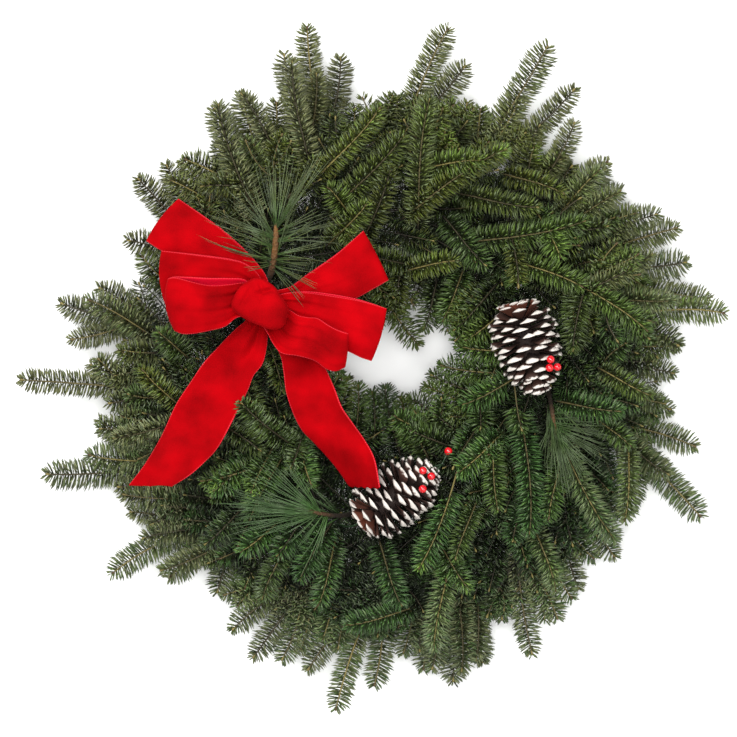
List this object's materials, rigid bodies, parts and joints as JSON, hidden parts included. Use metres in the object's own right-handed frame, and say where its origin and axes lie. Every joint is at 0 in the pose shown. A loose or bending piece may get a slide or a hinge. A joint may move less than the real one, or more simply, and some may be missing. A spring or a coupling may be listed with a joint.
{
  "type": "evergreen wreath",
  "caption": "Round fresh fir wreath on a welded wire ring, with a red velvet ribbon bow, white-tipped pine cones, red berries and long-needled pine sprays.",
  "frame": {"origin": "under the middle of the box of the wreath, on the plane on which its ring rests", "axes": "+Z out of the face of the wreath, which lies on its back; +Y towards its top as it hangs, with the bow at the upper left; +X to the right of someone who faces it"},
  "size_m": [0.6322, 0.6166, 0.1501],
  "materials": {
    "dark_wire": "satin",
    "fir_branch": "matte",
    "white_pine": "satin",
    "pine_cone": "rough",
    "berry": "gloss",
    "red_velvet": "velvet"
  },
  "bodies": {
    "root": {"berries_1": "berry", "berries_2": "berry", "bow_knot": "red_velvet", "bow_loop_left_front": "red_velvet", "bow_loop_left_middle": "red_velvet", "bow_loop_left_upper": "red_velvet", "bow_loop_right_front": "red_velvet", "bow_loop_right_middle": "red_velvet", "bow_loop_right_upper": "red_velvet", "bow_tail_left": "red_velvet", "bow_tail_right": "red_velvet", "bow_tie_wire": "dark_wire", "cone_pick_1": "dark_wire", "cone_pick_2": "dark_wire", "fir_face_01": "fir_branch", "fir_face_02": "fir_branch", "fir_face_03": "fir_branch", "fir_face_04": "fir_branch", "fir_face_05": "fir_branch", "fir_face_06": "fir_branch", "fir_face_07": "fir_branch", "fir_face_08": "fir_branch", "fir_face_09": "fir_branch", "fir_face_10": "fir_branch", "fir_face_11": "fir_branch", "fir_face_12": "fir_branch", "fir_face_13": "fir_branch", "fir_face_14": "fir_branch", "fir_inner_1": "fir_branch", "fir_inner_2": "fir_branch", "fir_inner_3": "fir_branch", "fir_inner_4": "fir_branch", "fir_inner_5": "fir_branch", "fir_inner_6": "fir_branch", "fir_inner_7": "fir_branch", "fir_outer_01": "fir_branch", "fir_outer_02": "fir_branch", "fir_outer_03": "fir_branch", "fir_outer_04": "fir_branch", "fir_outer_05": "fir_branch", "fir_outer_06": "fir_branch", "fir_outer_07": "fir_branch", "fir_outer_08": "fir_branch", "fir_outer_09": "fir_branch", "fir_outer_10": "fir_branch", "fir_outer_11": "fir_branch", "fir_outer_12": "fir_branch", "fir_outer_13": "fir_branch", "fir_outer_14": "fir_branch", "fir_outer_15": "fir_branch", "fir_outer_16": "fir_branch", "fir_outer_17": "fir_branch", "fir_outer_18": "fir_branch", "pine_cone_1": "pine_cone", "pine_cone_2": "pine_cone", "white_pine_spray_1": "white_pine", "white_pine_spray_2": "white_pine", "white_pine_spray_3": "white_pine", "wire_ring": "dark_wire"}
  },
  "joints": []
}
